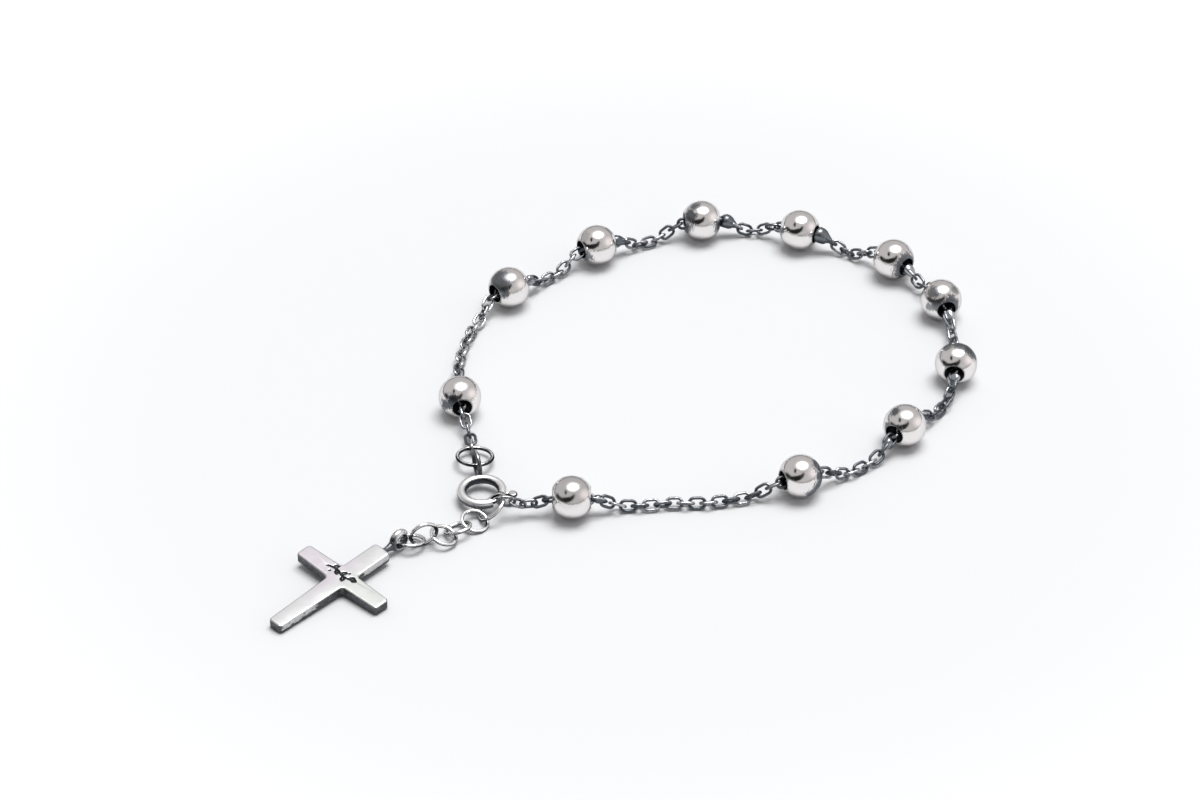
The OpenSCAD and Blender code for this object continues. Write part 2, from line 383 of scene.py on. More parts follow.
flat = [on_curve(i, k / CURVE_STEPS) for i in range(len(plan) - 1) for k in range(CURVE_STEPS)] + [plan[-1]]
trace = np.array([[p[0], p[1], height(p)] for p in flat])
along = np.concatenate([[0], np.cumsum(np.linalg.norm(np.diff(trace, axis=0), axis=1))])
wanted = LINK_L - 2 * LINK_WIRE - LINK_PLAY
link_count = 2 * round((along[-1] / wanted - 1) / 2) + 1
pitch = along[-1] / link_count
marks = np.arange(link_count + 1) * pitch
ends = np.stack([np.interp(marks, along, trace[:, axis]) for axis in range(3)], axis=1)
centres = (ends[:-1] + ends[1:]) / 2
runs = np.diff(ends, axis=0)
print("Links:", link_count, "at a pitch of", round(pitch, 3), "mm, chain", round(along[-1], 1), "mm")

# %% How each link is turned, and which links are filled with solder
# Links lean left and right in turn and sway a little; the last ones at each end lie flat
# and upright in turn
END_LINKS = 7
SWAY = 11
SWAY_STEP = 50
STOP_REACH = BEAD_D / 2 + 1.35


def roll(k):
    upright = np.clip(1 - k / END_LINKS, 0, 1) + np.clip(1 - (link_count - 1 - k) / END_LINKS, 0, 1)
    return 45 + 90 * (k % 2) + 45 * upright + SWAY * (1 - upright) * math.sin(math.radians(SWAY_STEP * k))


def turn_along(run, k):
    """The turn about X, Y and Z of link k, or of its lump of solder, whose length lies along run."""
    return (math.radians(roll(k)), -math.asin(run[2] / np.linalg.norm(run)), math.atan2(run[1], run[0]))


stops = {}
for i, bead in enumerate(BEADS):
    if bead[3] != 0:
        hole_middle = (along[entries[i] * CURVE_STEPS] + along[(entries[i] + 1) * CURVE_STEPS]) / 2
        stops[i] = math.floor((hole_middle + bead[3] * STOP_REACH) / pitch)
# The chain's two runs meet four links before the stop of the sixth bead
split_link = stops[5] - 4
print("Solder stops at links", sorted(stops.values()))

# %% [markdown]
# One link is a circle whose two halves are pulled apart and swept with a round wire.
# Geometry Nodes set it on a point for each link, turned as the point's attribute says.
# Three numbers are kept for the finish: how far a spot lies on the outside of its link,
# where it rubs bright, a random tone for each link, and how much more than usual the link
# is rubbed. A stop's lump of solder is a point too, with a size of its own, and runs from
# its link towards the hole of the bead, where it is broadest.

# %% The tree that makes a run of links
def chain_tree():
    group = bpy.data.node_groups.new("links on points", "GeometryNodeTree")
    face = group.interface
    face.new_socket("Points", in_out="INPUT", socket_type="NodeSocketGeometry")
    for name in ("Length", "Width", "Wire"):
        face.new_socket(name, in_out="INPUT", socket_type="NodeSocketFloat")
    for name in ("Steps", "Sides", "Seed"):
        face.new_socket(name, in_out="INPUT", socket_type="NodeSocketInt")
    face.new_socket("Finish", in_out="INPUT", socket_type="NodeSocketMaterial")
    face.new_socket("Mesh", in_out="OUTPUT", socket_type="NodeSocketGeometry")
    t = Tree(group)
    inputs = group.nodes.new("NodeGroupInput")

    def given(name):
        return Wire(t, inputs.outputs[name])

    bow = (given("Width") - given("Wire")) / 2
    half_run = (given("Length") - given("Width")) / 2
    place = t.node("GeometryNodeInputPosition")
    x = t.node("ShaderNodeSeparateXYZ", None, {0: place}, out="X")
    y = t.node("ShaderNodeSeparateXYZ", None, {0: place}, out="Y")
    pull = t.node("ShaderNodeCombineXYZ", None, {"X": t.math("SIGN", x) * half_run})
    circle = t.node("GeometryNodeCurvePrimitiveCircle", None, {"Resolution": given("Steps"), "Radius": bow})
    half_step = t.node("ShaderNodeCombineXYZ", None, {"Z": math.pi / given("Steps")})
    circle = t.node("GeometryNodeTransform", None, {"Geometry": circle, "Rotation": half_step})
    line = t.node("GeometryNodeSetPosition", None, {"Geometry": circle, "Offset": pull})
    wire = t.node("GeometryNodeCurvePrimitiveCircle", None,
                  {"Resolution": given("Sides"), "Radius": given("Wire") / 2})
    link = t.node("GeometryNodeCurveToMesh", None, {"Curve": line, "Profile Curve": wire})
    past = t.larger(t.math("ABSOLUTE", x) - half_run, 0.0)
    reach = t.math("SQRT", past * past + y * y)
    outside = (reach - bow) / (given("Wire") / 2)
    link = t.node("GeometryNodeStoreNamedAttribute", {"data_type": "FLOAT", "domain": "POINT"},
                  {"Geometry": link, "Name": "outside", "Value": outside})
    lump = t.node("GeometryNodeMeshUVSphere", None, {"Segments": 20, "Rings": 12, "Radius": 1.0})
    uneven = t.node("ShaderNodeTexNoise", None, {"Vector": place, "Scale": 1.3}, out=1)
    uneven = t.scaled(t.vector("SUBTRACT", uneven, (0.5, 0.5, 0.5)), 0.5)
    narrow = t.node("ShaderNodeCombineXYZ", None, {"Y": x * -0.5, "Z": x * -0.5})
    uneven = t.vector("ADD", uneven, t.vector("MULTIPLY", place, narrow))
    lump = t.node("GeometryNodeSetPosition", None, {"Geometry": lump, "Offset": uneven})
    stored_vector = ("GeometryNodeInputNamedAttribute", {"data_type": "FLOAT_VECTOR"})
    facing = t.node(*stored_vector, {"Name": "facing"})
    lump_size = t.node(*stored_vector, {"Name": "lump"})
    is_lump = t.larger(t.vector("LENGTH", lump_size, out="Value") * 1e6, 0.0)
    links = t.node("GeometryNodeInstanceOnPoints", None,
                   {"Points": given("Points"), "Selection": 1 - is_lump, "Instance": link,
                    "Rotation": facing})
    lumps = t.node("GeometryNodeInstanceOnPoints", None,
                   {"Points": given("Points"), "Selection": is_lump, "Instance": lump, "Rotation": facing,
                    "Scale": lump_size})
    both = t.node("GeometryNodeJoinGeometry", None, {0: [links, lumps]})
    tone = t.node("FunctionNodeRandomValue", {"data_type": "FLOAT"}, {"Seed": given("Seed")}, out=1)
    both = t.node("GeometryNodeStoreNamedAttribute", {"data_type": "FLOAT", "domain": "INSTANCE"},
                  {"Geometry": both, "Name": "tone", "Value": tone})
    both = t.node("GeometryNodeRealizeInstances", None, {"Geometry": both})
    both = t.node("GeometryNodeSetShadeSmooth", None, {"Geometry": both})
    both = t.node("GeometryNodeSetMaterial", None, {"Geometry": both, "Material": given("Finish")})
    t.node("NodeGroupOutput", None, {"Mesh": both})
    return group


def grown(name, points, group, values):
    """A plain mesh piece from points, grown by a node group with the given input values."""
    seed = bpy.data.objects.new(name + " points", points)
    scene.collection.objects.link(seed)
    modifier = seed.modifiers.new("grow", "NODES")
    modifier.node_group = group
    for item in group.interface.items_tree:
        if item.in_out == "INPUT" and item.name in values:
            modifier[item.identifier] = values[item.name]
    bpy.context.view_layer.update()
    ready = seed.evaluated_get(bpy.context.evaluated_depsgraph_get())
    mesh = bpy.data.meshes.new_from_object(ready)
    mesh.name = name
    bpy.data.objects.remove(seed)
    piece = bpy.data.objects.new(name, mesh)
    scene.collection.objects.link(piece)
    return piece


# %% [markdown]
# The chain was left dark, and only the outsides of its links are rubbed bright. The
# stretch between the first two beads is rubbed more than the rest.

# %% The finish of the chain
PALE_OXIDE = (0.2, 0.215, 0.235, 1)
WORN_LINK = (0.7, 0.705, 0.72, 1)
DARK_SOLDER = (0.12, 0.135, 0.15, 1)
BRIGHT_SOLDER = (0.5, 0.53, 0.56, 1)


def chain_finish():
    f = Finish("darkened chain")
    outside = f.attribute("outside")
    tone = f.attribute("tone")
    rubbed = f.attribute("rubbed")
    soldered = f.step(f.attribute("lump"), 0.0, 0.0001)
    grain = f.noise(f.place, 3.0, 3.0)
    fine = f.noise(f.place, 12.0, 2.0)
    wear = outside * 0.3 + f.facing_up() * 0.35 + (grain - 0.5) * 1.5 + (tone - 0.5) * 0.5 + rubbed
    bright = f.step(wear, 0.35, 0.95)
    dark = f.colour(tone, OXIDE, PALE_OXIDE)
    colour = f.colour(bright, dark, WORN_LINK)
    solder = f.colour(rubbed, DARK_SOLDER, BRIGHT_SOLDER)
    colour = f.colour(soldered * 0.8, colour, solder)
    roughness = 0.32 - bright * 0.14 + (fine - 0.5) * 0.2
    return f.paint(colour, roughness, grain * 0.5 + fine * 0.5, 0.03)


links_group = chain_tree()
chain_material = chain_finish()
RUBBED_FROM = along[(entries[0] + 1) * CURVE_STEPS]
RUBBED_TO = along[entries[1] * CURVE_STEPS]
RUBBED_SHARE = 0.3

# For each bead with a stop: how far its lump reaches towards the bead, how far it stands
# above the chain, its half sizes, and how much of it is rubbed bright
LUMPS = {
    1: (0.6, 0.0, (0.95, 0.62, 0.5), 0.5), 2: (0.5, 0.05, (1.35, 0.66, 0.6), 0.05),
    3: (0.9, 0.1, (1.25, 0.78, 0.75), 0.1), 4: (1.0, 0.2, (1.4, 0.85, 0.85), 0.1),
    5: (0.3, 0.05, (1.15, 0.75, 0.62), 0.7), 6: (1.0, 0.0, (1.15, 0.72, 0.6), 0.8),
    7: (0.7, -0.1, (0.9, 0.9, 0.55), 0.6), 8: (0.6, 0.0, (0.95, 0.7, 0.5), 0.3),
    10: (0.9, 0.0, (0.95, 0.48, 0.45), 0.0),
}


def lump_row(bead, k):
    """Place, turn, half sizes and rubbed share of the solder at stop link k."""
    reach, lift, size, rubbed = LUMPS[bead]
    run = BEADS[bead][3] * runs[k]
    return centres[k] - reach * run / pitch + (0, 0, lift), turn_along(run, k), size, rubbed


def chain_run(name, first, past_last):
    chosen = range(first, past_last)
    rows = []
    for k in chosen:
        brighter_share = RUBBED_SHARE * (RUBBED_FROM < k * pitch < RUBBED_TO)
        rows.append((centres[k], turn_along(runs[k], k), (0, 0, 0), brighter_share))
    rows += [lump_row(bead, k) for bead, k in stops.items() if k in chosen]
    places, turns, sizes, shares = zip(*rows)
    points = bpy.data.meshes.new(name + " points")
    points.from_pydata([tuple((place - MIDDLE) * MM) for place in places], [], [])
    facing = points.attributes.new("facing", "FLOAT_VECTOR", "POINT")
    facing.data.foreach_set("vector", np.array(turns, np.float32).ravel())
    lump = points.attributes.new("lump", "FLOAT_VECTOR", "POINT")
    lump.data.foreach_set("vector", np.array(sizes, np.float32).ravel() * MM)
    rubbed = points.attributes.new("rubbed", "FLOAT", "POINT")
    rubbed.data.foreach_set("value", shares)
    piece = grown(name, points, links_group, {
        "Length": LINK_L * MM, "Width": LINK_W * MM, "Wire": LINK_WIRE * MM,
        "Steps": 24, "Sides": 10, "Seed": 3, "Finish": chain_material})
    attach(piece, "bracelet")
    print(name, "has", len(piece.data.polygons), "faces")
    return piece


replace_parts(chain_run("links_far", 0, split_link), "chain_far")
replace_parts(chain_run("links_near", split_link, link_count), "chain_near")

# %% [markdown]
# The beads follow. Where the patches lie was read off the photograph as a step to the
# right and a step up from each bead's middle, in parts of its radius. These become
# directions in the frame, so they stay on the bead from any side.

# %% The beads with their own patches
# For each bead: step right, step up, spread in degrees and strength of its dark patches
PATCHES = [
    [(-0.3, -0.15, 22, 1.0), (-0.62, -0.36, 24, 0.95), (0.05, -0.2, 10, 0.7)],
    [(-0.45, 0.32, 42, 0.85), (-0.16, -0.33, 16, 0.85)],
    [(-0.5, -0.62, 20, 0.85), (0.6, 0.75, 16, 0.6), (-0.58, 0.41, 20, 0.25)],
    [(-0.62, 0.17, 29, 0.9), (-0.3, 0.7, 19, 0.85), (0.86, -0.25, 24, 0.9), (-0.74, -0.36, 24, 0.8)],
    [(0.86, -0.17, 22, 0.75), (-0.9, -0.05, 14, 0.5)],
    [(0.64, -0.42, 47, 0.92)],
    [(-0.42, 0.36, 25, 0.8), (-0.3, -0.3, 20, 0.85), (-0.62, -0.36, 18, 0.75), (0.42, -0.32, 36, 0.92),
     (0.64, 0.45, 18, 0.6)],
    [(0.12, 0.84, 26, 0.85), (0.5, 0.7, 25, 0.92), (0.79, 0.4, 24, 0.92), (-0.4, 0.82, 22, 0.75)],
    [(-0.48, 0.66, 18, 0.9), (-0.12, 0.5, 8, 0.6), (-0.86, -0.1, 20, 0.85), (-0.48, -0.18, 18, 0.85)],
    [(0.8, 0.45, 24, 0.9), (0.87, 0.02, 25, 0.95), (0.82, -0.38, 26, 0.95), (0.56, -0.72, 24, 0.9)],
    [(-0.93, -0.23, 16, 0.6), (-0.1, 0.5, 62, 0.12)],
]
slope = math.radians(LOOK_DOWN)
right = np.array([1, 0, 0])
up = np.array([0, math.sin(slope), math.cos(slope)])
nearer = np.array([0, -math.cos(slope), math.sin(slope)])


def seen_way(to_right, to_up):
    return to_right * right + to_up * up + math.sqrt(max(1 - to_right**2 - to_up**2, 0)) * nearer


bead_points, bead_faces = turned(bead_outline(), steps=96)
for i, bead in enumerate(BEADS):
    x, y, turn = bead[:3]
    node = "bead_%02d" % (i + 1)
    middle = np.array([x, y, BEAD_D / 2]) - MIDDLE
    lying = Euler((0, math.radians(90), math.radians(turn))).to_matrix().to_4x4()
    matrix = Matrix.Translation(middle) @ lying
    piece = made_mesh("shell_%02d" % (i + 1), bead_points, bead_faces, matrix)
    bore = np.append(hole_way(bead), 0)
    ways = [(seen_way(a, b), spread, strength) for a, b, spread, strength in PATCHES[i]]
    piece.data.materials.append(bead_finish("bead silver %02d" % (i + 1), middle, bore, ways))
    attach(piece, "bracelet")
    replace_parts(piece, node)
print("Beads:", len(BEADS), "of", len(bead_faces), "faces each")

# %% [markdown]
# The cross is cast and filed by hand. Its outline is drawn from straight edges, and
# every corner is rounded. Rings of that outline, each a little further in, make the
# crowned edge, and a fine net closes the top, so that the engraving can be pressed in.

# %% The outline of the cross
# Each arm's length from the middle, then its width there and at its end
SIDE_L = 6.3
HEAD_L = 6.3
FOOT_L = 10.2
CROSS_W = 2.45
HEAD_W = 2.4
SIDE_W = 2.05
FOOT_W = 1.9
CROSS_T = 1.15
CORNER_R = 0.42
INNER_R = 0.45
CORNER_STEPS = 8
ARMS = [(SIDE_L, SIDE_W), (HEAD_L, HEAD_W), (SIDE_L, SIDE_W), (FOOT_L, FOOT_W)]


def crossing(p, along_p, q, along_q):
    """Where the line through p meets the line through q."""
    share = np.linalg.solve(np.array([along_p, -along_q]).T, q - p)
    return p + share[0] * along_p


def spin(angle):
    return np.array([[math.cos(angle), -math.sin(angle)], [math.sin(angle), math.cos(angle)]])


def leftward(run):
    return np.array([-run[1], run[0]])


def arm_corners():
    """The twelve corners of the cross, with the four arms to the right, up, left and down."""
    turns = [spin(a) for a in np.radians([0, 90, 180, 270])]
    low, high = [], []
    for turn, (length, width) in zip(turns, ARMS):
        low.append((turn @ (0, -CROSS_W / 2), turn @ (length, -width / 2)))
        high.append((turn @ (0, CROSS_W / 2), turn @ (length, width / 2)))
    corners = []
    for i in range(4):
        after = low[(i + 1) % 4]
        corners.append(low[i][1])
        corners.append(high[i][1])
        corners.append(crossing(high[i][0], high[i][1] - high[i][0], after[0], after[1] - after[0]))
    return corners


def rounded_outline(corners, inset):
    """The outline moved in by inset, with the same number of points whatever the inset."""
    count = len(corners)
    edges = []
    for i in range(count):
        run = corners[(i + 1) % count] - corners[i]
        run = run / np.linalg.norm(run)
        edges.append((corners[i] + inset * leftward(run), run))
    outline = []
    for i in range(count):
        (p, before), (q, after) = edges[i - 1], edges[i]
        corner = crossing(p, before, q, after)
        turn = math.atan2(before[0] * after[1] - before[1] * after[0], before @ after)
        radius = max(CORNER_R - inset, 0.03) if turn > 0 else INNER_R + inset
        back = radius * math.tan(abs(turn) / 2)
        side = math.copysign(1, turn)
        normal = side * leftward(before)
        middle = corner - back * before + radius * normal
        for a in np.linspace(0, turn, CORNER_STEPS):
            outline.append(middle + spin(a) @ (-radius * normal))
    return np.array(outline)


# %% [markdown]
# A small sprig is cut into the middle of the top: a bent stem with leaves and two
# berries, blackened so that it shows. A stroke is a line of points, and how deep the
# graver went depends on the distance to the nearest stroke.

# %% The engraved sprig
SPRIG_MIDDLE = np.array([-0.45, 0.2])
CUT_DEPTH = 0.1
CUT_HALF = 0.2


def bent(start, end, sag, steps=14):
    """A stroke from start to end that bows to one side by sag."""
    start, end = np.array(start, float), np.array(end, float)
    run = end - start
    side = leftward(run) / np.linalg.norm(run)
    share = np.linspace(0, 1, steps)[:, None]
    return start + share * run + 4 * share * (1 - share) * sag * side


def leaf(root, angle, length):
    tip = np.array(root) + length * heading(angle)
    return [bent(root, tip, 0.17), bent(root, tip, -0.17)]


def sprig():
    stem = bent((-2.0, -0.1), (-0.1, 0.0), 0.2)
    stem = np.concatenate([stem, bent((-0.1, 0.0), (1.6, 0.12), -0.2)])
    strokes = [stem]
    for at, angle in ((5, 62), (9, -48), (15, 50), (19, -58), (24, 48)):
        strokes += leaf(stem[at], angle, 0.68)
    strokes += leaf(stem[-1], 8, 0.55)
    for x, y in ((-1.25, -0.5), (0.72, 0.62)):
        strokes.append(np.array([(x, y), (x + 0.03, y + 0.02)]))
    return [s + SPRIG_MIDDLE for s in strokes]


def cut_depth(points, strokes):
    """How deep each point of the top is cut, from 0 to 1."""
    nearest = np.full(len(points), 9.0)
    for stroke in strokes:
        for a, b in zip(stroke[:-1], stroke[1:]):
            run = b - a
            share = np.clip(((points - a) @ run) / max(run @ run, 1e-9), 0, 1)
            nearest = np.minimum(nearest, np.linalg.norm(points - a - share[:, None] * run, axis=1))
    return ease(1 - nearest / CUT_HALF)


# %% The body of the cross
# How far in and down the crowned edge is rounded, and the spacing of the net
EDGE_IN = 0.26
EDGE_DOWN = 0.2
NET = 0.04


def cross_body():
    corners = arm_corners()
    # Rows of inset and height: the rounded lower edge first, then the crowned one
    rows = [(0.1, 0.0), (0.03, 0.03), (0.0, 0.1)]
    for a in np.radians(np.linspace(0, 90, 9)):
        rows.append((EDGE_IN * (1 - math.cos(a)), CROSS_T - EDGE_DOWN + EDGE_DOWN * math.sin(a)))
    rings = [rounded_outline(corners, inset) for inset, _ in rows]
    count = len(rings[0])
    points = [(*p, z) for ring, (_, z) in zip(rings, rows) for p in ring]
    faces = []
    for r in range(len(rows) - 1):
        for k in range(count):
            m = (k + 1) % count
            faces.append((r * count + k, r * count + m, (r + 1) * count + m, (r + 1) * count + k))
    faces.append(tuple(reversed(range(count))))
    strokes = sprig()
    spots = np.concatenate(strokes)
    low = spots.min(axis=0) - CUT_HALF
    high = spots.max(axis=0) + CUT_HALF
    net = np.array([(x, y) for x in np.arange(low[0], high[0], NET) for y in np.arange(low[1], high[1], NET)])
    edge = rings[-1]
    clear = np.array([np.min(np.linalg.norm(edge - p, axis=1)) > NET for p in net])
    flat_points = [Vector(p) for p in np.concatenate([edge, net[clear]])]
    loop = [(k, (k + 1) % count) for k in range(count)]
    top, _, triangles, *_ = delaunay_2d_cdt(flat_points, loop, [list(range(count))], 1, 1e-5)
    top = np.array([tuple(p) for p in top])
    depth = cut_depth(top, strokes)
    start = len(points)
    points += [(p[0], p[1], CROSS_T - CUT_DEPTH * d) for p, d in zip(top, depth)]
    faces += [tuple(start + k for k in triangle) for triangle in triangles]
    cut = np.concatenate([np.zeros(start), depth])
    return points, faces, cut


# %% [markdown]
# The cross rests on its foot and one arm, and the rings hold its head up by a few
# degrees. Its eye is a domed band on a short dark neck.

# %% The neck and the eye, then the whole cross
CROSS = np.array([-28.44, -34.28, 0.06])
CROSS_TURN = -43
CROSS_TILT = 4.5
# The eye: its size, how far its edges drop from the dome, how far out and how high it is
BAIL_D = 2.7
BAIL_T = 0.5
BAIL_W = 0.9
BAIL_DOME = 0.22
BAIL_OUT = 8.8
BAIL_Z = 1.37
# The neck: how deep it starts in the head, its height, its radius and how far it narrows
NECK_IN = 0.5
NECK_Z = 1.15
NECK_R = 0.55
NECK_WAIST = 0.22

stand = Matrix.Translation(CROSS - MIDDLE) @ Matrix.Rotation(math.radians(CROSS_TURN), 4, "Z")
tilt = (Matrix.Translation((SIDE_L, 0, 0))
        @ Matrix.Rotation(math.radians(CROSS_TILT), 4, Vector((SIDE_L, FOOT_L, 0)))
        @ Matrix.Translation((-SIDE_L, 0, 0)))


def band_outline():
    """The eye's wall: flat inside and domed outside."""
    outer = BAIL_D / 2
    inner = outer - BAIL_T
    half = BAIL_W / 2
    dome = []
    for z in np.linspace(-half, half, 15):
        share = (z / half) ** 2
        dome.append((outer - BAIL_DOME * share * (1 + 0.4 * share), z))
    return [(inner, half), (inner, 0), (inner, -half)] + dome


def neck_outline():
    length = BAIL_OUT - BAIL_D / 2 - HEAD_L + NECK_IN + BAIL_T / 2
    shares = np.linspace(0, 1, 13)
    side = [(NECK_R - NECK_WAIST * math.sin(math.pi * share), length * share) for share in shares]
    return [(0.001, 0)] + side + [(0.001, length)]


def placed_points(points, matrix):
    return [tuple(matrix @ Vector(p)) for p in points]


def cross_piece():
    points, faces, cut = cross_body()
    points = placed_points(points, stand @ tilt)
    band_points, band_faces = turned(band_outline(), steps=64)
    eye_at = stand @ Matrix.Translation((0, BAIL_OUT, BAIL_Z)) @ Matrix.Rotation(math.radians(90), 4, "Y")
    neck_points, neck_faces = turned(neck_outline(), steps=32)
    neck_at = (stand @ Matrix.Translation((0, HEAD_L - NECK_IN, NECK_Z))
               @ Matrix.Rotation(math.radians(-90), 4, "X"))
    parts = [(band_points, band_faces, eye_at), (neck_points, neck_faces, neck_at)]
    for more_points, more_faces, matrix in parts:
        start = len(points)
        points += placed_points(more_points, matrix)
        faces += [tuple(start + k for k in face) for face in more_faces]
    return points, faces, np.concatenate([cut, np.zeros(len(points) - len(cut))])


# %% [markdown]
# The top of the cross is satin, with a faint lilac and green bloom, so it scatters a part
# of the light as a white surface does. Its crowned edges are bright. Its upright walls
# stayed dark, with rubbed streaks. Everything that is a place on the cross is measured
# along its own arms.

# %% The finish of the cross
LILAC_SATIN = (0.64, 0.605, 0.645, 1)
GREEN_SATIN = (0.655, 0.675, 0.65, 1)
PLAIN_SATIN = (0.65, 0.65, 0.653, 1)
WALL_OXIDE = (0.045, 0.048, 0.052, 1)
PALE_WALL_OXIDE = (0.13, 0.135, 0.145, 1)


def cross_finish():
    f = Finish("satin cross silver")
    offset = f.vector("SUBTRACT", f.place, tuple(CROSS - MIDDLE))
    side_way = tuple(stand.to_3x3() @ Vector((1, 0, 0)))
    head_way = tuple(stand.to_3x3() @ Vector((0, 1, 0)))
    across = f.vector("DOT_PRODUCT", offset, side_way, out="Value")
    lengthways = f.vector("DOT_PRODUCT", offset, head_way, out="Value")
    lying = stand @ tilt
    from_bottom = f.vector("SUBTRACT", f.place, tuple(lying.translation))
    cross_up = tuple(lying.to_3x3() @ Vector((0, 0, 1)))
    high = f.vector("DOT_PRODUCT", from_bottom, cross_up, out="Value")
    faces_up = f.facing_up()
    cloud = f.noise(offset, 0.6, 3.0)
    streaks = f.noise(f.vector("MULTIPLY", f.place, (1.2, 1.2, 5.0)), 1.6, 4.0)
    fine = f.noise(f.place, 9.0, 3.0)
    # Walls below the crowned edge are dark, apart from rubbed streaks
    wall = f.step(faces_up, 0.5, 0.3)
    on_head = f.step(lengthways, 1.6, 2.6) * f.step(across, 0.2, 0.8)
    on_foot = f.step(lengthways, -4.2, -5.5) * f.step(across, 0.2, 0.6) * f.step(lengthways, -10.1, -9.9)
    filed = (on_head * 0.42 + on_foot * 0.3) * f.step(high, 0.25, 0.5)
    rubbed = f.step(streaks + filed, 0.66, 0.76)
    past_head = f.step(lengthways, HEAD_L - 0.15, HEAD_L + 0.1)
    neck = past_head * f.step(lengthways, HEAD_L + 2.0, HEAD_L + 1.5)
    eye_middle = tuple(stand @ Vector((0, BAIL_OUT, BAIL_Z)) - Vector(CROSS - MIDDLE))
    from_eye = f.vector("SUBTRACT", offset, eye_middle)
    flat_part = f.scaled(side_way, f.vector("DOT_PRODUCT", from_eye, side_way, out="Value"))
    eye_reach = f.vector("LENGTH", f.vector("SUBTRACT", from_eye, flat_part), out="Value")
    in_eye = past_head * f.step(eye_reach, BAIL_D / 2 - BAIL_T + 0.12, BAIL_D / 2 - BAIL_T + 0.02)
    body = 1 - past_head
    dark = body * wall * (1 - rubbed * 0.85)
    dark = f.larger(dark, f.larger(neck * f.step(cloud, 0.8, 0.6), in_eye))
    dark = f.larger(dark, f.step(cloud + past_head * 0.06, 0.72, 0.8) * past_head * 0.5)
    cut = f.attribute("cut")
    top = f.colour(f.step(across, -1.0, 2.0), LILAC_SATIN, GREEN_SATIN)
    top = f.colour(f.step(f.math("ABSOLUTE", lengthways + 0.5), 2.0, 5.0), top, PLAIN_SATIN)
    silver = f.colour(past_head, top, COOL_SILVER)
    oxide = f.colour(f.step(streaks, 0.3, 0.6), WALL_OXIDE, PALE_WALL_OXIDE)
    colour = f.colour(dark, silver, oxide)
    colour = f.colour(f.step(cut, 0.03, 0.25), colour, BLACK_OXIDE)
    satin = body * f.step(faces_up, 0.9, 0.99)
    f.node_into("Metallic", 1 - satin * 0.3)
    low_edge = f.step(high, 0.25, 0.1) * body
    roughness = 0.16 + satin * 0.16 + dark * 0.2 + low_edge * 0.1 + (fine - 0.5) * 0.1 + (cloud - 0.5) * 0.1
    return f.paint(colour, roughness, fine * 0.12 + cloud * 0.6 + streaks * dark * 0.4, 0.06)


points, faces, cut = cross_piece()
cross_object = made_mesh("cross_cast", points, faces, sharp=50, merge=2e-6, cut=cut)
cross_object.data.materials.append(cross_finish())
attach(cross_object, "bracelet")
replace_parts(cross_object, "cross")
print("Cross:", len(cross_object.data.polygons), "faces")

# %% [markdown]
# The spring ring and the jump rings are smooth turned shapes already, so their CAD
# meshes stay. All of them were darkened. The tail's rings have painted light where they
# face up and painted shade below, and the hook ring and the gate have painted light only
# along their tops. The spring ring is bright, apart from its darkened inner wall and eye,
# and its underside, which is painted shade.

# %% The finishes of the rings and the clasp
CLASP = np.array([-13.4, -19, 1.3]) - MIDDLE
EYE = CLASP + np.array([-0.67, 4.25, 0.6])
WIRE_RIM = (0.2, 0.2, 0.21, 1)
BRIGHT_SILVER = (0.93, 0.925, 0.92, 1)
# Oxide colours of the wire, which also carry its painted shade where it faces down
WIRE_OXIDE_AND_SHADE = (0.03, 0.032, 0.037, 1)
PALE_WIRE_OXIDE_AND_SHADE = (0.12, 0.125, 0.135, 1)
# The spring ring's oxide colour, which is also used for the painted shade on its underside
CLASP_OXIDE_AND_SHADE = (0.06, 0.064, 0.072, 1)
# Where darkness begins and where it is full, from the clasp's middle and from its eye
DARK_INNER = (2.05, 1.88)
DARK_EYE = (2.3, 1.8)
TAIL_RINGS = 6


def ring_finish(name, top_light_from, top_light_to, patchy):
    """Darkened wire, painted lighter where it faces up and darker where it faces down, as painted light and
    shade: fully dark below the first bound and fully bright above the second.
    """
    f = Finish(name)
    f.shader.inputs["Specular Tint"].default_value = WIRE_RIM
    cloud = f.noise(f.place, 1.1, 3.0)
    fine = f.noise(f.place, 10.0, 2.0)
    # Painted light on the wire's upper side and painted shade under it, set by which way the surface faces
    brighter_share = f.step(f.facing_up() + (cloud - 0.5) * patchy, top_light_from, top_light_to)
    oxide = f.colour(f.step(cloud, 0.4, 0.6), WIRE_OXIDE_AND_SHADE, PALE_WIRE_OXIDE_AND_SHADE)
    colour = f.colour(brighter_share, oxide, BRIGHT_SILVER)
    roughness = 0.3 - brighter_share * 0.12 + (fine - 0.5) * 0.08
    return f.paint(colour, roughness, cloud * 0.6 + fine * 0.08, 0.03)


def clasp_finish():
    f = Finish("spring ring silver")
    offset = f.vector("SUBTRACT", f.place, tuple(CLASP))
    flat_offset = f.vector("MULTIPLY", offset, (1, 1, 0))
    reach = f.vector("LENGTH", flat_offset, out="Value")
    from_eye = f.vector("LENGTH", f.vector("SUBTRACT", f.place, tuple(EYE)), out="Value")
    cloud = f.noise(f.place, 1.4, 3.0)
    fine = f.noise(f.place, 9.0, 2.0)
    inner = f.step(reach + (cloud - 0.5) * 0.25, *DARK_INNER)
    eye = f.step(from_eye + (cloud - 0.5) * 0.6, *DARK_EYE)
    edge = f.step(f.facing_up(), 0.85, 0.97) * 0.5
    # Painted shade: the underside of the spring ring is darkened
    underside_shade = f.step(f.facing_up() + (cloud - 0.5) * 0.3, 0.42, 0.2) * 0.95
    dark = f.larger(f.larger(inner, eye * 0.9 - edge * eye), underside_shade)
    colour = f.colour(dark, BRIGHT_SILVER, CLASP_OXIDE_AND_SHADE)
    roughness = 0.32 + (fine - 0.5) * 0.06
    return f.paint(colour, roughness, cloud * 0.5 + fine * 0.08, 0.04)


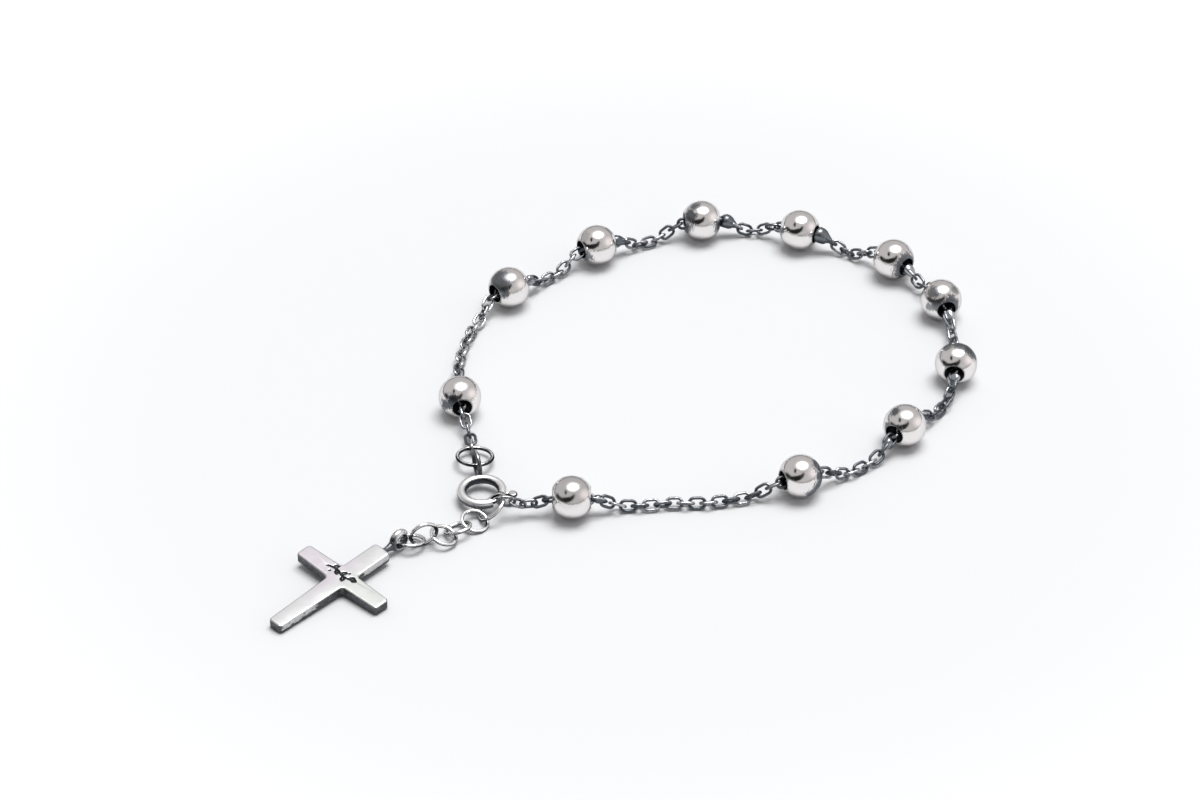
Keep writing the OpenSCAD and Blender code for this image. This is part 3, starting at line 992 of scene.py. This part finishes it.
def dress(node, material):
    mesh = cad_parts[node].data
    mesh.materials.clear()
    mesh.materials.append(material)


dress("clasp_ring", clasp_finish())
dress("clasp_gate", ring_finish("gate wire silver", 0.75, 1.0, 0.3))
dress("hook_ring", ring_finish("darkened hook ring", 0.75, 1.0, 0.5))
tail_material = ring_finish("tail ring silver", 0.05, 0.35, 0.5)
for i in range(TAIL_RINGS):
    dress("tail_ring_%d" % (i + 1), tail_material)

# %% [markdown]
# The bracelet lies on a matt white table. Its colour is painted a little darker near the bracelet and whiter
# farther out, as painted shade and painted light.

# %% The table, in metres
TABLE_R = 0.9
TABLE_DROP = 0.00002
# Table colours: a white with painted shade near the bracelet, and a white with painted light far out
SHADED_WHITE = (0.614, 0.622, 0.635, 1)
LIT_WHITE = (0.7, 0.7, 0.7, 1)


def flat_disc(name, radius, z, steps=96):
    points = [(radius * math.cos(a), radius * math.sin(a), z)
              for a in np.linspace(0, 2 * math.pi, steps, endpoint=False)]
    mesh = bpy.data.meshes.new(name)
    mesh.from_pydata(points, [], [tuple(range(steps))])
    made = bpy.data.objects.new(name, mesh)
    scene.collection.objects.link(made)
    return made


def table_finish():
    f = Finish("white table")
    f.shader.inputs["Metallic"].default_value = 0
    f.shader.inputs["Roughness"].default_value = 0.6
    f.shader.inputs["Specular IOR Level"].default_value = 0.2
    reach = f.vector("LENGTH", f.place, out="Value")
    # Painted light and shade: the table is darker near the bracelet and whiter far from it
    light_falloff = f.step(reach, 45.0, 120.0)
    f.node_into("Base Color", f.colour(light_falloff, SHADED_WHITE, LIT_WHITE))
    return f.material


table = flat_disc("table", TABLE_R, -TABLE_DROP)
table.data.materials.append(table_finish())

# %% [markdown]
# A mirror bead shows the whole room, so the room is half of its look. The room is painted
# on the world as one mirror ball would show it from the camera's side: every direction has
# its place on the ball, a step to the right and a step up in parts of the radius. There
# are a white softbox overhead with a soft glow round it, a pale sheet at the right, a
# darker horizon, and a dark crescent and dot, which are what stands beside the camera.

# %% The room
GREY = (0.555, 0.545, 0.547, 1)
HORIZON = (0.1, 0.1, 0.105, 1)
SHEET = (1.0, 0.95, 0.95, 1)
CRESCENT = (0.015, 0.015, 0.015, 1)
SOFTBOX = 10.5
GLOW = 1.35
SOFTBOX_AT = (0.08, 0.49)

world = bpy.data.worlds.new("room")
world.use_nodes = True
scene.world = world
room = Tree(world.node_tree)
way = room.node("ShaderNodeTexCoord", None, None, out="Generated")
on_ball = room.vector("NORMALIZE", room.vector("ADD", way, tuple(nearer)))
ball_x = room.vector("DOT_PRODUCT", on_ball, tuple(right), out="Value")
ball_y = room.vector("DOT_PRODUCT", on_ball, tuple(up), out="Value")
elevation = room.node("ShaderNodeSeparateXYZ", None, {0: way}, out="Z")


def spot(middle, half, soft):
    """1 inside an ellipse on the mirror ball and 0 outside it, with a soft edge."""
    x = (ball_x - middle[0]) / half[0]
    y = (ball_y - middle[1]) / half[1]
    return room.step(room.math("SQRT", x * x + y * y), 1 + soft, 1 - soft)


away = room.node("ShaderNodeSeparateXYZ", None, {0: way}, out="Y")
near_horizon = room.step(elevation, 0.2, 0.03) * (0.45 + room.step(away, -0.5, 0.4) * 0.4)
grey = room.colour(near_horizon, GREY, HORIZON)
grey = room.colour(spot((0.6, 0.15), (0.2, 0.2), 0.8), grey, SHEET)
smile = spot((-0.27, 0.12), (0.43, 0.34), 0.12) - spot((-0.27, 0.3), (0.37, 0.29), 0.15)
smile = smile * room.step(ball_y, 0.26, 0.14)
dot = spot((-0.27, 0.25), (0.06, 0.1), 0.35)
grey = room.colour(room.larger(room.larger(smile, dot), 0.0), grey, CRESCENT)
grey = room.colour(spot(SOFTBOX_AT, (0.28, 0.185), 0.35), grey, (GLOW, GLOW, GLOW, 1))
grey = room.colour(spot(SOFTBOX_AT, (0.2, 0.125), 0.2), grey, (SOFTBOX, SOFTBOX, SOFTBOX, 1))
world.node_tree.links.new(grey.socket, world.node_tree.nodes["Background"].inputs["Color"])
print("Softbox brightness:", SOFTBOX)
